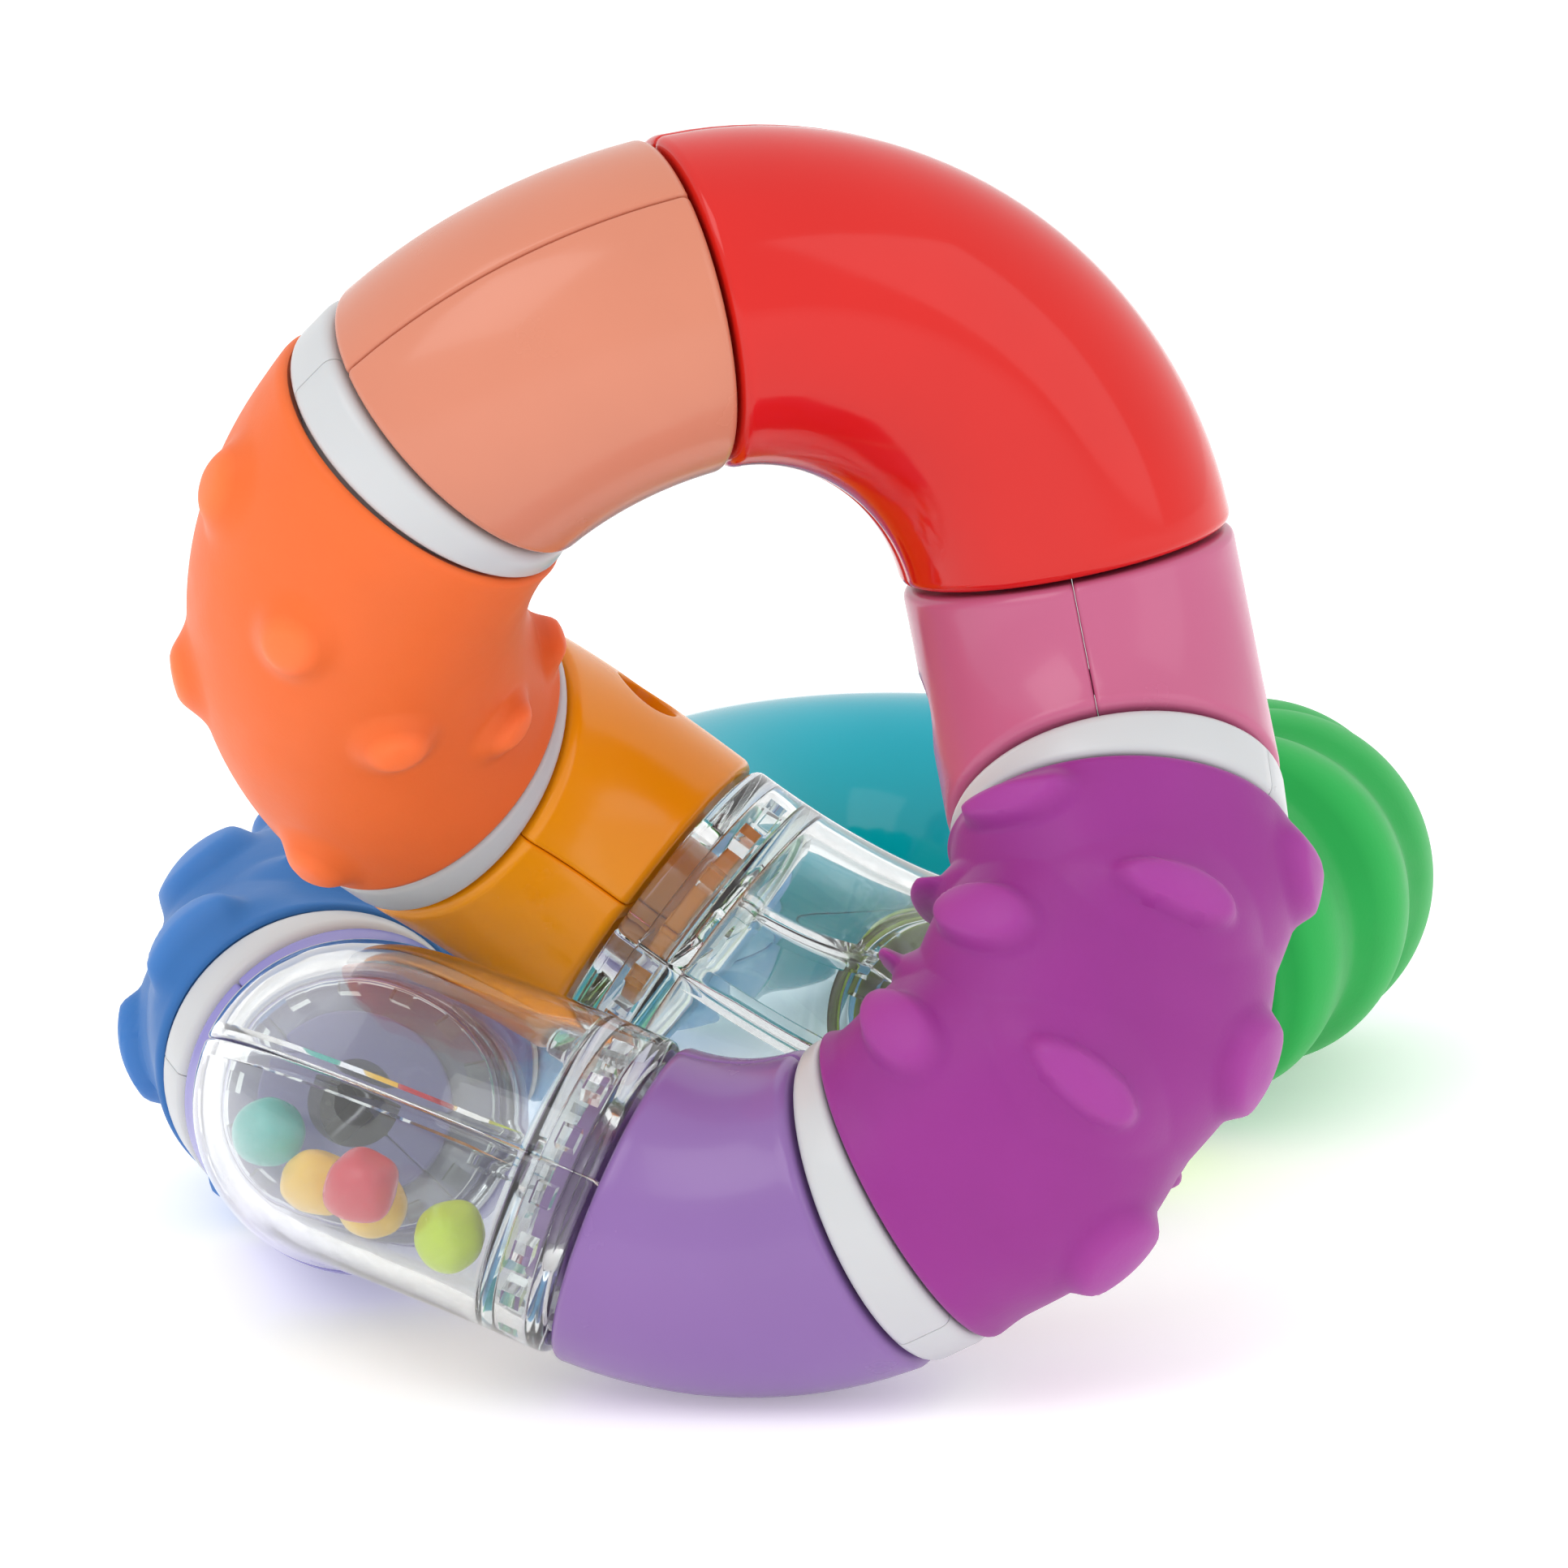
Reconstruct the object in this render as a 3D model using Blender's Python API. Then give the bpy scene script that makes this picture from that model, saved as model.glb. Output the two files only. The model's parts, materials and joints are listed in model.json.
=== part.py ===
"""Teething ring: an endless loop of sixteen curved tube links that swivel on one another.

Every link is a slice of one torus: eight bend by 90 degrees and eight by 45, in turn. A 45 degree link
is two half shells held by a screw, with a hollow snap hub at both ends. A 90 degree link holds its
neighbours' hubs behind its end walls: two are glossy shells, two are clear rattles and four are white
cores under a silicone sleeve. Units are metres and +Z is up.
"""

import math

import bmesh
import bpy
import numpy as np
from mathutils import Matrix, Vector

MM = 0.001

# Driving dimensions
TUBE_R = 14 * MM
BEND_R = 2 * TUBE_R
WALL = 2 * MM
PIVOT_GAP = 0.4 * MM
PARTING_GAP = 0.3 * MM
EDGE = 0.7 * MM

# Swivel hub of a 45 degree link, and the end wall that holds it
NECK_R = 6 * MM
COLLAR_R = 8.6 * MM
COLLAR = 1.6 * MM
HUB_BORE_R = 4 * MM
WALL_BORE_R = NECK_R + 0.5 * MM
END_WALL = 2.1 * MM
COLLAR_GAP = 0.4 * MM

# Silicone links: white core, flanges and sleeve
FLANGE_TURN = 7.5
CORE_R = 11.7 * MM
CORE_BORE_R = 10 * MM
SLEEVE_BORE_R = 12 * MM
SLEEVE_R = 14.3 * MM
SLEEVE_GAP_TURN = 0.4
RIB = 1 * MM
RIB_TURNS = (20.0, 36.5, 53.5, 70.0)
RIB_HALF_TURN = 4.0

# Clear rattle links: bulkheads that shut the beads in
BULKHEAD = 1.2 * MM
BULKHEAD_AT = 5.4 * MM
BULKHEAD_BORE_R = 2 * MM
BEAD_R = 3.25 * MM
BEAD_ORBIT_R = 8.2 * MM

# Screw of a 45 degree link
COUNTERBORE_R = 3.1 * MM
BOSS_R = 4.4 * MM
BOSS_TOP = 13 * MM
SHELF = 6 * MM
HEAD_R = 2.7 * MM
HEAD = 1.8 * MM
SHANK_R = 1.1 * MM
SHANK = 12 * MM
SCREW_HOLE_R = 1.4 * MM
PILOT_BOSS_R = 3 * MM
CONTACT_GAP = 0.1 * MM

# Facets: degrees along the bend, and steps around half the tube
BEND_STEP = 15
HALF_TURN_STEPS = 8

# name, bend in degrees, kind, swivel before it in degrees, colour, roughness
LINKS = (
    ("red", 90, "hard", None, (0.80, 0.06, 0.05), 0.2),
    ("peach", 45, "clip", -43, (0.86, 0.35, 0.22), 0.35),
    ("orange", 90, "soft", 10, (0.93, 0.23, 0.07), 0.55),
    ("yellow", 45, "clip", 71, (0.80, 0.32, 0.04), 0.35),
    ("clear_a", 90, "clear", -171, (0.85, 0.90, 0.92), 0.05),
    ("lime", 45, "clip", 124, (0.50, 0.72, 0.10), 0.35),
    ("green", 90, "soft", -177, (0.03, 0.45, 0.15), 0.55),
    ("mint", 45, "clip", 37, (0.25, 0.70, 0.50), 0.35),
    ("teal", 90, "hard", -30, (0.01, 0.40, 0.45), 0.2),
    ("sky", 45, "clip", 175, (0.15, 0.45, 0.72), 0.35),
    ("blue", 90, "soft", 178, (0.08, 0.21, 0.55), 0.55),
    ("periwinkle", 45, "clip", 138, (0.33, 0.33, 0.62), 0.35),
    ("clear_b", 90, "clear", -157, (0.85, 0.90, 0.92), 0.05),
    ("lavender", 45, "clip", 112, (0.35, 0.18, 0.50), 0.35),
    ("purple", 90, "soft", -41, (0.33, 0.05, 0.32), 0.55),
    ("pink", 45, "clip", 110, (0.65, 0.15, 0.24), 0.35),
)
NAMES = [link[0] for link in LINKS]
BENDS = [math.radians(link[1]) for link in LINKS]

# These swivels are let turn a little, so that the loop closes exactly
CLOSING = ("lime", "green", "mint", "teal", "sky", "blue", "periwinkle", "clear_b")
# The loop rests on these three links, and its joint tree runs both ways round from the red link
FEET = ("periwinkle", "lavender", "mint")
ROOT = "red"
LAST_FORWARD = "mint"
RATTLE = "clear_b"
RIBBED = "green"
# The heading that turns the finger gap of the loop towards -Y
HEADING = 115

# The bend axis points to a link's front half, and its back half holds the screw's head
FRONT, BACK = 1, -1

# Beads in the second clear link: name, degrees along the bend, degrees round the tube, colour
BEADS = (
    ("bead_teal", 20, -42, (0.10, 0.50, 0.55)),
    ("bead_yellow_1", 29, -78, (0.90, 0.65, 0.10)),
    ("bead_yellow_2", 42, -95, (0.90, 0.65, 0.10)),
    ("bead_red", 51, -58, (0.70, 0.06, 0.08)),
    ("bead_lime", 67, -80, (0.60, 0.75, 0.10)),
)

# Where a profile's point lies: in a link's straight start, along its bend, or in its straight end
START, BENT, END = 0, 1, 2

COLLECTION = "teething_ring"
CREASE = math.radians(35)
WHITE = (0.80, 0.82, 0.82)
STEEL = (0.55, 0.56, 0.58)


def clear_scene():
    for obj in list(bpy.data.objects):
        bpy.data.objects.remove(obj)
    bpy.context.scene.collection.children.link(bpy.data.collections.new(COLLECTION))


def store(obj):
    """Keeps an object in the part's collection alone."""
    for collection in list(obj.users_collection):
        collection.objects.unlink(obj)
    bpy.data.collections[COLLECTION].objects.link(obj)


# ---------------------------------------------------------------- the loop


def turn_about_tube(degrees):
    return Matrix.Rotation(math.radians(degrees), 4, "X")


def along_bend(angle):
    """The move from a link's start to the place this far round its bend, about the axis at +Y."""
    centre = Vector((0, BEND_R, 0))
    return Matrix.Translation(centre) @ Matrix.Rotation(angle, 4, "Z") @ Matrix.Translation(-centre)


def link_starts(swivels):
    """Each link's frame at its start, with X along the tube and Y to the centre of the bend, and the loop's end."""
    frame = Matrix.Identity(4)
    starts = []
    for index, bend in enumerate(BENDS):
        if index:
            frame = frame @ turn_about_tube(swivels[index])
        starts.append(frame.copy())
        frame = frame @ along_bend(bend)
    return starts, frame


def loop_gap(swivels):
    """How far the loop's end misses its start: three distances in bend radii and two tilts."""
    end = link_starts(swivels)[1]
    along = end.col[0]
    return np.array([*(end.translation / BEND_R), along.y, along.z])


def close_loop(swivels):
    """Newton steps, of the least total turn, on the hidden swivels."""
    swivels = np.array(swivels, float)
    free = [NAMES.index(name) for name in CLOSING]
    nudge = 0.01
    for _ in range(12):
        gap = loop_gap(swivels)
        slopes = []
        for index in free:
            moved = swivels.copy()
            moved[index] += nudge
            slopes.append((loop_gap(moved) - gap) / nudge)
        swivels[free] -= np.linalg.lstsq(np.array(slopes).T, gap, rcond=None)[0]
    return swivels


def lowest_point(start, bend):
    """The lowest point on a link's centre line."""
    points = [start @ along_bend(bend * step / 60) @ Vector((0, 0, 0)) for step in range(61)]
    return min(points, key=lambda point: point.z)


def stand_up(starts):
    """The move that stands the loop on its three feet, with the floor at z = 0."""
    feet = [starts[NAMES.index(name)] for name in FEET]
    bends = [BENDS[NAMES.index(name)] for name in FEET]
    a, b, c = (start @ along_bend(bend / 2) @ Vector((0, 0, 0)) for start, bend in zip(feet, bends))
    up = (b - a).cross(c - a)
    middle = sum((start.translation for start in starts), Vector()) / len(starts)
    if up.dot(middle - a) < 0:
        up.negate()
    move = up.rotation_difference(Vector((0, 0, 1))).to_matrix().to_4x4()
    for _ in range(30):
        a, b, c = (lowest_point(move @ start, bend) for start, bend in zip(feet, bends))
        up = (b - a).cross(c - a)
        if up.z < 0:
            up.negate()
        move = up.rotation_difference(Vector((0, 0, 1))).to_matrix().to_4x4() @ move
    move = Matrix.Rotation(math.radians(HEADING), 4, "Z") @ move
    floor = lowest_point(move @ feet[0], bends[0]).z - TUBE_R
    return Matrix.Translation((0, 0, -floor)) @ move


# ---------------------------------------------------------------- shapes


def settle(point, zone, length):
    """Where a point of the straight tube, with X along it, lies on the bent one."""
    if zone == BENT:
        return along_bend(point.x / BEND_R) @ Vector((0, point.y, point.z))
    depth = point.x if zone == START else length - point.x
    y = point.y
    if depth > 0:
        y = BEND_R - math.sqrt((BEND_R - y) ** 2 - depth**2)
    if zone == START:
        return Vector((depth, y, point.z))
    return along_bend(length / BEND_R) @ Vector((-depth, y, point.z))


def turned(name, profile, bend, side=0):
    """A solid turned from (zone, along, radius) points and bent: a half towards side, or the whole."""
    mesh = bmesh.new()
    zones = mesh.verts.layers.int.new("zone")
    length = BEND_R * bend
    outline = []
    for zone, along, radius in profile:
        x = length - along if zone == END else along
        vert = mesh.verts.new((x, -radius, 0))
        vert[zones] = zone
        outline.append(vert)
    edges = [mesh.edges.new(pair) for pair in zip(outline, outline[1:] + outline[:1])]
    if side:
        face = mesh.faces.new(outline)
        bmesh.ops.spin(
            mesh, geom=[face, *edges, *outline], axis=(1, 0, 0), cent=(0, 0, 0), angle=-side * math.pi,
            steps=HALF_TURN_STEPS,
        )
    else:
        bmesh.ops.spin(
            mesh, geom=[*edges, *outline], axis=(1, 0, 0), cent=(0, 0, 0), angle=2 * math.pi,
            steps=2 * HALF_TURN_STEPS, use_merge=True,
        )
    bmesh.ops.remove_doubles(mesh, verts=mesh.verts, dist=0.001 * MM)
    for vert in mesh.verts:
        vert.co = settle(vert.co, vert[zones], length)
        vert.co.z = side * PARTING_GAP / 2 + vert.co.z * (1 - abs(side) * PARTING_GAP / 2 / TUBE_R)
    bmesh.ops.recalc_face_normals(mesh, faces=mesh.faces)
    data = bpy.data.meshes.new(name)
    mesh.to_mesh(data)
    mesh.free()
    obj = bpy.data.objects.new(name, data)
    store(obj)
    return obj


def bent_run(bend, radius, step=BEND_STEP, clear=0.0):
    """Profile points along the bend at this radius, clear of both ends by this many degrees."""
    degrees = math.degrees(bend)
    count = round(degrees / step)
    stops = [degrees * index / count for index in range(1, count)]
    return [(BENT, BEND_R * math.radians(stop), radius) for stop in stops if clear <= stop <= degrees - clear]


def rounded_edge(zone, radius):
    """The rounded rim of a link's end, from its face to its side."""
    face = PIVOT_GAP / 2
    corner = EDGE * (1 - math.sqrt(0.5))
    return [(zone, face, radius - EDGE), (zone, face + corner, radius - corner), (zone, face + EDGE, radius)]


def clip_profile(bend):
    """Half of a 45 degree link: a closed shell with a hollow snap hub on both ends."""
    inner = TUBE_R - WALL
    wall = PIVOT_GAP / 2 + END_WALL
    collar = wall + COLLAR_GAP
    tip = collar + COLLAR
    hub = [
        (PIVOT_GAP / 2, NECK_R), (-collar, NECK_R), (-collar, COLLAR_R), (-tip, COLLAR_R),
        (-tip, HUB_BORE_R), (wall, HUB_BORE_R), (wall, inner),
    ]
    start = [(START, along, radius) for along, radius in hub]
    end = [(END, along, radius) for along, radius in hub]
    outside = rounded_edge(START, TUBE_R) + bent_run(bend, TUBE_R) + rounded_edge(END, TUBE_R)[::-1]
    return outside + end + bent_run(bend, inner)[::-1] + start[::-1]


def wall_points(inner, bulkhead):
    """The end wall of a 90 degree link, from its bore's mouth to the chamber, and its bulkhead."""
    wall = PIVOT_GAP / 2 + END_WALL
    points = [(PIVOT_GAP / 2, WALL_BORE_R), (wall, WALL_BORE_R), (wall, inner)]
    if bulkhead:
        back = BULKHEAD_AT + BULKHEAD
        points += [(BULKHEAD_AT, inner), (BULKHEAD_AT, BULKHEAD_BORE_R), (back, BULKHEAD_BORE_R), (back, inner)]
    return points


def shell_profile(bend, bulkhead):
    """Half of a hard or clear 90 degree link."""
    inner = TUBE_R - WALL
    ends = wall_points(inner, bulkhead)
    outside = rounded_edge(START, TUBE_R) + bent_run(bend, TUBE_R) + rounded_edge(END, TUBE_R)[::-1]
    end = [(END, along, radius) for along, radius in ends]
    start = [(START, along, radius) for along, radius in ends]
    return outside + end + bent_run(bend, inner, clear=2 * BEND_STEP)[::-1] + start[::-1]


def core_profile(bend):
    """Half of the white core of a silicone link, with a wedge-shaped flange at both ends."""
    flange = BEND_R * math.radians(FLANGE_TURN)
    far_flange = BEND_R * bend - flange
    ends = wall_points(CORE_BORE_R, False)
    outside = rounded_edge(START, TUBE_R) + [(BENT, flange, TUBE_R), (BENT, flange, CORE_R)]
    outside += bent_run(bend, CORE_R)
    outside += [(BENT, far_flange, CORE_R), (BENT, far_flange, TUBE_R)] + rounded_edge(END, TUBE_R)[::-1]
    end = [(END, along, radius) for along, radius in ends]
    start = [(START, along, radius) for along, radius in ends]
    return outside + end + bent_run(bend, CORE_BORE_R, clear=2 * BEND_STEP)[::-1] + start[::-1]


def sleeve_profile(bend, ribbed):
    """The silicone sleeve between the flanges, plain or with rounded ribs."""
    clear = FLANGE_TURN + SLEEVE_GAP_TURN
    near = BEND_R * math.radians(clear)
    far = BEND_R * bend - near
    outside = [(BENT, near, SLEEVE_BORE_R), (BENT, near, TUBE_R)]
    if ribbed:
        for turn in RIB_TURNS:
            for offset, height in ((-1, 0), (-0.5, 1), (0.5, 1), (1, 0)):
                stop = BEND_R * math.radians(turn + offset * RIB_HALF_TURN)
                outside.append((BENT, stop, SLEEVE_R + height * RIB))
    else:
        outside += bent_run(bend, SLEEVE_R)
    outside += [(BENT, far, TUBE_R), (BENT, far, SLEEVE_BORE_R)]
    return outside + bent_run(bend, SLEEVE_BORE_R)[::-1]


def cylinder(name, radius, low, high, place, sides=16):
    """A round bar along the bend axis of its link, from low to high."""
    bpy.ops.mesh.primitive_cylinder_add(vertices=sides, radius=radius, depth=abs(high - low))
    obj = bpy.context.object
    obj.name = name
    store(obj)
    obj.data.transform(place @ Matrix.Translation((0, 0, (low + high) / 2)))
    return obj


def join_shapes(target, tool, operation):
    """Applies one exact Boolean and removes its tool."""
    modifier = target.modifiers.new(operation.lower(), "BOOLEAN")
    modifier.operation = operation
    modifier.solver = "EXACT"
    modifier.object = tool
    bpy.context.view_layer.update()
    result = bpy.data.meshes.new_from_object(target.evaluated_get(bpy.context.evaluated_depsgraph_get()))
    target.modifiers.clear()
    target.data = result
    bpy.data.objects.remove(tool)


def add_screw_post(half, bend, side, holds_head):
    """The post in one half of a 45 degree link: a counterbored one for the screw's head, or a pilot."""
    place = along_bend(bend / 2)
    foot = side * PARTING_GAP / 2
    beyond = side * 2 * TUBE_R
    radius = BOSS_R if holds_head else PILOT_BOSS_R
    join_shapes(half, cylinder("post", radius, foot, side * BOSS_TOP, place, sides=12), "UNION")
    depth = beyond if holds_head else side * (SHANK - SHELF + 2 * HEAD)
    join_shapes(half, cylinder("hole", SCREW_HOLE_R, -foot, depth, place, sides=8), "DIFFERENCE")
    if holds_head:
        join_shapes(half, cylinder("counterbore", COUNTERBORE_R, side * SHELF, beyond, place), "DIFFERENCE")


def make_screw(name, bend, side):
    """A pan-headed screw seated on the shelf of its counterbore."""
    place = along_bend(bend / 2)
    seat = side * (SHELF + CONTACT_GAP)
    screw = cylinder(name, HEAD_R, seat, seat + side * HEAD, place, sides=12)
    tip = seat - side * SHANK
    join_shapes(screw, cylinder("shank", SHANK_R, tip, seat + side * HEAD / 2, place, sides=8), "UNION")
    return screw


def make_bead(name, along, around):
    """A rattle bead on the wall of the clear tube; around is 0 on the outside of the bend."""
    bpy.ops.mesh.primitive_ico_sphere_add(subdivisions=2, radius=BEAD_R)
    bead = bpy.context.object
    bead.name = name
    store(bead)
    turn = math.radians(around)
    centre = Vector((0, -BEAD_ORBIT_R * math.cos(turn), BEAD_ORBIT_R * math.sin(turn)))
    bead.data.transform(along_bend(math.radians(along)) @ Matrix.Translation(centre))
    return bead


# ---------------------------------------------------------------- finish


def paint(obj, colour, roughness, clear=False, metallic=0.0):
    """Gives a finished shape its material and its smooth shading."""
    material = bpy.data.materials.new(obj.name)
    material.use_nodes = True
    shader = material.node_tree.nodes["Principled BSDF"]
    shader.inputs["Base Color"].default_value = (*colour, 1)
    shader.inputs["Roughness"].default_value = roughness
    shader.inputs["Metallic"].default_value = metallic
    if clear:
        shader.inputs["Transmission Weight"].default_value = 1
    obj.data.materials.clear()
    obj.data.materials.append(material)
    obj.data.shade_smooth()
    obj.data.set_sharp_from_angle(angle=CREASE)


def hang_on(obj, empty, start):
    """Parents a shape, made in its link's start frame, to the empty on the link's joint."""
    obj.parent = empty
    obj.matrix_parent_inverse = Matrix.Identity(4)
    obj.matrix_local = empty.matrix_world.inverted() @ start


def add_empty(name, world, parent):
    empty = bpy.data.objects.new(name, None)
    empty.empty_display_size = TUBE_R
    store(empty)
    empty.parent = parent
    empty.matrix_local = parent.matrix_world.inverted() @ world if parent else world
    bpy.context.view_layer.update()
    return empty


def make_halves(name, profile, bend, colour, roughness, clear=False):
    """The front and back half shells of one link."""
    halves = []
    for side, word in ((FRONT, "front"), (BACK, "back")):
        half = turned(f"{name}_{word}_half", profile, bend, side)
        paint(half, colour, roughness, clear)
        halves.append(half)
    return halves


def make_link(index, empty, start):
    """Every piece of one link, hung on the link's empty."""
    name, _, kind, _, colour, roughness = LINKS[index]
    bend = BENDS[index]
    if kind == "clip":
        pieces = make_halves(name, clip_profile(bend), bend, colour, roughness)
        for half, side in zip(pieces, (FRONT, BACK)):
            add_screw_post(half, bend, side, side == BACK)
        pieces.append(make_screw(f"{name}_screw", bend, BACK))
        paint(pieces[-1], STEEL, 0.3, metallic=1.0)
    elif kind == "soft":
        pieces = make_halves(f"{name}_core", core_profile(bend), bend, WHITE, 0.35)
        pieces.append(turned(f"{name}_sleeve", sleeve_profile(bend, name == RIBBED), bend))
        paint(pieces[-1], colour, roughness)
    else:
        clear = kind == "clear"
        pieces = make_halves(name, shell_profile(bend, clear), bend, colour, roughness, clear)
    for piece in pieces:
        hang_on(piece, empty, start)


def widest(name, kind):
    """The radius of a link's widest part."""
    if kind != "soft":
        return TUBE_R
    return SLEEVE_R + (RIB if name == RIBBED else 0)


def box_middle(starts):
    """The middle of the box round the loop: at each place along the tube, a disc as wide as the link."""
    low, high = np.full(3, 1.0), np.full(3, -1.0)
    for (name, _, kind, *_), start, bend in zip(LINKS, starts, BENDS):
        for step in range(8, 53):
            place = start @ along_bend(bend * step / 60)
            along = np.array(place.col[0].to_3d())
            reach = widest(name, kind) * np.sqrt(np.maximum(1 - along**2, 0))
            low = np.minimum(low, np.array(place.translation) - reach)
            high = np.maximum(high, np.array(place.translation) + reach)
    return Vector((low + high) / 2)


def place_links():
    """Each link's start frame in the world, with the loop closed, standing and centred."""
    swivels = close_loop([link[3] or 0 for link in LINKS])
    starts = link_starts(swivels)[0]
    stand = stand_up(starts)
    starts = [stand @ start for start in starts]
    middle = box_middle(starts)
    return [Matrix.Translation((-middle.x, -middle.y, 0)) @ start for start in starts]


def add_link_empties(starts):
    """An empty on the swivel of every link, in a tree that runs both ways from the root link."""
    root = NAMES.index(ROOT)
    last_forward = NAMES.index(LAST_FORWARD)
    empties = {root: add_empty(f"{ROOT}_link", starts[root], None)}
    for index in range(root + 1, last_forward + 1):
        empties[index] = add_empty(f"{NAMES[index]}_link", starts[index], empties[index - 1])
    for index in range(len(LINKS) - 1, last_forward, -1):
        inner = empties[(index + 1) % len(LINKS)]
        end = starts[index] @ along_bend(BENDS[index])
        empties[index] = add_empty(f"{NAMES[index]}_link", end, inner)
    return empties


def add_beads(link_empty, start):
    """The loose beads, on an empty on the bend axis of their clear link."""
    axis = start @ Matrix.Translation((0, BEND_R, 0))
    empty = add_empty("rattle_beads", axis, link_empty)
    for name, along, around, colour in BEADS:
        bead = make_bead(name, along, around)
        paint(bead, colour, 0.3)
        hang_on(bead, empty, start)


def main():
    clear_scene()
    starts = place_links()
    empties = add_link_empties(starts)
    for index, start in enumerate(starts):
        make_link(index, empties[index], start)
    rattle = NAMES.index(RATTLE)
    add_beads(empties[rattle], starts[rattle])


main()
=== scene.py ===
"""Looks of the teething ring: a finely shaped piece stands for every solid of the CAD frame.

Sixteen slices of one torus swivel on one another. Each piece is made in its link's own frame, with X along
the tube at the link's start, Y to the centre of its bend and Z along the bend's axis, and rides on its link.
"""

import json
import math

import bmesh
import bpy
import numpy as np
from mathutils import Matrix, Vector

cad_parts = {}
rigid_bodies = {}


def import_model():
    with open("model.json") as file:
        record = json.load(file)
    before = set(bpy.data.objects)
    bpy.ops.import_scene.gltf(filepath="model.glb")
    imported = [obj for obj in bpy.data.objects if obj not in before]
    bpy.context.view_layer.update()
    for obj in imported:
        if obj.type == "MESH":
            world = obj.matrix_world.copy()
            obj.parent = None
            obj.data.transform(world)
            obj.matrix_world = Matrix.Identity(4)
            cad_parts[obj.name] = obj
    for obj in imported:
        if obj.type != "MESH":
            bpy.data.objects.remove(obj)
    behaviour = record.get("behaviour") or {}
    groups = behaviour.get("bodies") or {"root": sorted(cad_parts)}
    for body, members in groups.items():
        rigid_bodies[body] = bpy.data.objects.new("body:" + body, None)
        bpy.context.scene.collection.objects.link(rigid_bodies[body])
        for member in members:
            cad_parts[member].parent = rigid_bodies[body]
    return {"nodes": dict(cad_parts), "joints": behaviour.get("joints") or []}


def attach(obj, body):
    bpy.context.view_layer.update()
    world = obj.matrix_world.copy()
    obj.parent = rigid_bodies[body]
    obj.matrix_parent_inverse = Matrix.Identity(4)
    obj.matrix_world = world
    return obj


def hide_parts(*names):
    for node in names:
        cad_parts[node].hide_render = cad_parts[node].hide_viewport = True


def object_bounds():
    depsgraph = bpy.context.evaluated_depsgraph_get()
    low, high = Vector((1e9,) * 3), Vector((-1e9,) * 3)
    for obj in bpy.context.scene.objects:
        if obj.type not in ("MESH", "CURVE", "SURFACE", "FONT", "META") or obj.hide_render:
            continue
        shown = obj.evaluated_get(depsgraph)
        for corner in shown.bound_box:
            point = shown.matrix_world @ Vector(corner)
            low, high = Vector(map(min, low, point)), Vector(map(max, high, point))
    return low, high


MM = 0.001

# Sizes shared with the CAD solids
TUBE_R = 14 * MM
BEND_R = 2 * TUBE_R
WALL = 2 * MM
PIVOT_GAP = 0.4 * MM
END_WALL = 2.1 * MM
NECK_R = 6 * MM
COLLAR_R = 8.6 * MM
COLLAR = 1.6 * MM
COLLAR_GAP = 0.4 * MM
HUB_BORE_R = 4 * MM
WALL_BORE_R = 6.5 * MM
BULKHEAD = 1.2 * MM
BULKHEAD_AT = 5.4 * MM
BULKHEAD_BORE_R = 2 * MM
FLANGE_TURN = 7.5
CORE_R = 11.7 * MM
CORE_BORE_R = 10 * MM
SLEEVE_BORE_R = 12 * MM
SLEEVE_R = 14.3 * MM
SLEEVE_GAP_TURN = 0.4
COUNTERBORE_R = 3.1 * MM
BOSS_R = 4.4 * MM
SHELF = 6 * MM
SCREW_HOLE_R = 1.4 * MM
HEAD_R = 2.7 * MM
HEAD = 1.8 * MM
SHANK_R = 1.1 * MM
SHANK = 12 * MM
SEAT_GAP = 0.1 * MM
BEAD_R = 3.25 * MM
BEAD_ORBIT_R = 8.2 * MM

# The two halves of a link lie on either side of its bend plane
FRONT, BACK = 1, -1
SIDES = ((FRONT, "front"), (BACK, "back"))

# Roundings and small details of the looks
RIM = 0.9 * MM
SOFT_RIM = 1.1 * MM
SEAM_GAP = 0.04 * MM
INNER_ROUND = 0.3 * MM
HUB_LIP = 0.3 * MM
FLANGE_EDGE = 0.7 * MM
SLEEVE_EDGE = 0.6 * MM
SLEEVE_FADE_TURN = 6
BOSS_TOP = 12.9 * MM
BORE_ROUND = 0.35 * MM
OVERCUT = 1 * MM
HEAD_CROWN = 0.7 * MM
HEAD_FLAT_R = 1.2 * MM
HEAD_RISE = 0.02 * MM
RECESS_LONG = 3 * MM
RECESS_WIDE = 0.6 * MM
RECESS_DEEP = 0.9 * MM
BEAD_LUMP = 0.08
LIP = 1.3 * MM
LIP_HEIGHT = 1.0 * MM

# The rounding of a parting on its inner and its outer side
HARD_SEAM = (0.28 * MM, 0.42 * MM)
CORE_SEAM = (0.12 * MM, 0.12 * MM)

# The clicker's teeth
TEETH = 7
TOOTH_AT = 3.9 * MM
TOOTH_LONG = 1.7 * MM
TOOTH_HIGH = 2.2 * MM
TOOTH_WIDE = 1.9 * MM

# Degrees from a link's end to its profile's bent stretch: outside, and inside without and with a bulkhead
END_TURN = 5
CAVITY_TURN = 7.5
BULKHEAD_CAVITY_TURN = 17.5

# How finely curves are cut, in degrees along a bend and in steps round a tube
FINE_TURN = 2.5
COARSE_TURN = 5
SLEEVE_TURN = 0.6
HALF_STEPS = 40
SHELL_STEPS = 48
SLEEVE_STEPS = 176
RING_STEPS = 48

# Faces at less than this angle are shaded as one surface, and shorter edges than this are closed up
SMOOTH_ANGLE = math.radians(32)
SLIVER = 0.001 * MM

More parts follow.
